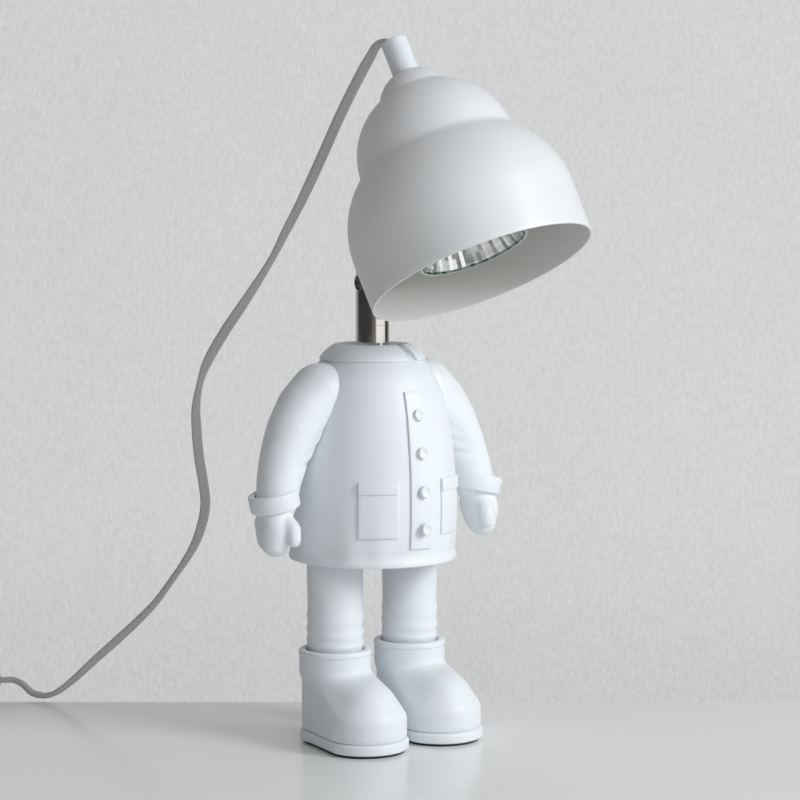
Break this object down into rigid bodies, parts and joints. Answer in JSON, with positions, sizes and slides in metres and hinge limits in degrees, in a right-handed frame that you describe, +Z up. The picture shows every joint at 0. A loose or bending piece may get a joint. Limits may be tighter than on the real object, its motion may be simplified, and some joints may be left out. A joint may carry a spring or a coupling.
{
  "type": "figure table lamp",
  "caption": "White standing figure lamp with a tiered bell shade on a swivelling, tilting neck, a reflector bulb, and a flat cord with an in-line dimmer.",
  "frame": {"origin": "on the table, under the middle of the lamp's own box without its cord", "axes": "+Z up, the figure faces -Y, +X to the figure's left"},
  "size_m": [0.2807, 0.5743, 0.3968],
  "materials": {
    "resin": "white cast resin with a satin coat",
    "shade_paint": "white satin paint on thin steel",
    "nickel": "polished nickel plate",
    "steel": "zinc-plated steel",
    "brass": "plain brass",
    "fibre": "pressed fibre",
    "pad": "dark rubber sheet",
    "white_plastic": "white moulded plastic",
    "wheel_grey": "grey moulded plastic",
    "board": "green circuit board",
    "cord": "flat twin flex in pale vinyl",
    "tie": "dark soft band",
    "ceramic": "unglazed steatite",
    "lead_sleeve": "woven glass sleeve",
    "reflector": "faceted silvered glass",
    "bulb_glass": "clear glass"
  },
  "bodies": {
    "figure": {"coat": "resin", "hip_plate": "steel", "hip_screws": "steel", "right_leg": "resin", "left_leg": "resin", "right_boot": "resin", "left_boot": "resin", "right_sole_pad": "pad", "left_sole_pad": "pad", "leg_bolts": "steel", "leg_washers": "steel", "leg_nuts": "steel", "right_arm": "resin", "left_arm": "resin", "arm_dowels": "steel", "neck_post": "nickel", "neck_washer": "steel", "neck_nut": "steel", "cord_lead": "cord", "dimmer_base": "white_plastic", "dimmer_cover": "white_plastic", "dimmer_board": "board", "dimmer_screws": "steel", "cord_link": "cord", "cord_coil": "cord", "cord_ties": "tie", "plug_relief": "white_plastic", "plug_body": "white_plastic", "plug_pins": "steel"},
    "swivel": {"swivel_fork": "nickel", "swivel_stop_pin": "steel", "swivel_washer": "steel", "swivel_screw": "steel", "tilt_bolt": "nickel", "tilt_nut": "nickel", "friction_washers": "fibre"},
    "head": {"tilt_tongue": "nickel", "tongue_washer": "steel", "tongue_screw": "steel", "shade": "shade_paint", "cord_grip": "white_plastic", "grip_screw": "steel", "stem_tube": "brass", "stem_washer": "steel", "stem_nuts": "brass", "holder_bracket": "steel", "bracket_screws": "steel", "lamp_holder": "ceramic", "holder_contacts": "brass", "lamp_leads": "lead_sleeve", "bulb_reflector": "reflector", "bulb_front_glass": "bulb_glass", "bulb_capsule": "bulb_glass", "bulb_base": "ceramic", "bulb_pins": "steel"},
    "thumbwheel": {"dimmer_wheel": "wheel_grey"}
  },
  "joints": [
    {"name": "neck_swivel", "type": "hinge", "parent": "figure", "child": "swivel", "pos_m": [0, 0.042, 0.2355], "axis": [0, 0, 1], "range_deg": [-75, 75], "deforming": ["cord_lead"]},
    {"name": "shade_tilt", "type": "hinge", "parent": "swivel", "child": "head", "pos_m": [-0.0006, 0.04443, 0.2592], "axis": [-0.9703, -0.2419, 0], "range_deg": [-22, 38], "deforming": ["cord_lead"]},
    {"name": "dimmer_turn", "type": "hinge", "parent": "figure", "child": "thumbwheel", "pos_m": [-0.14481, 0.29863, 0.008], "axis": [0, 0, 1], "range_deg": [0, 270]}
  ]
}
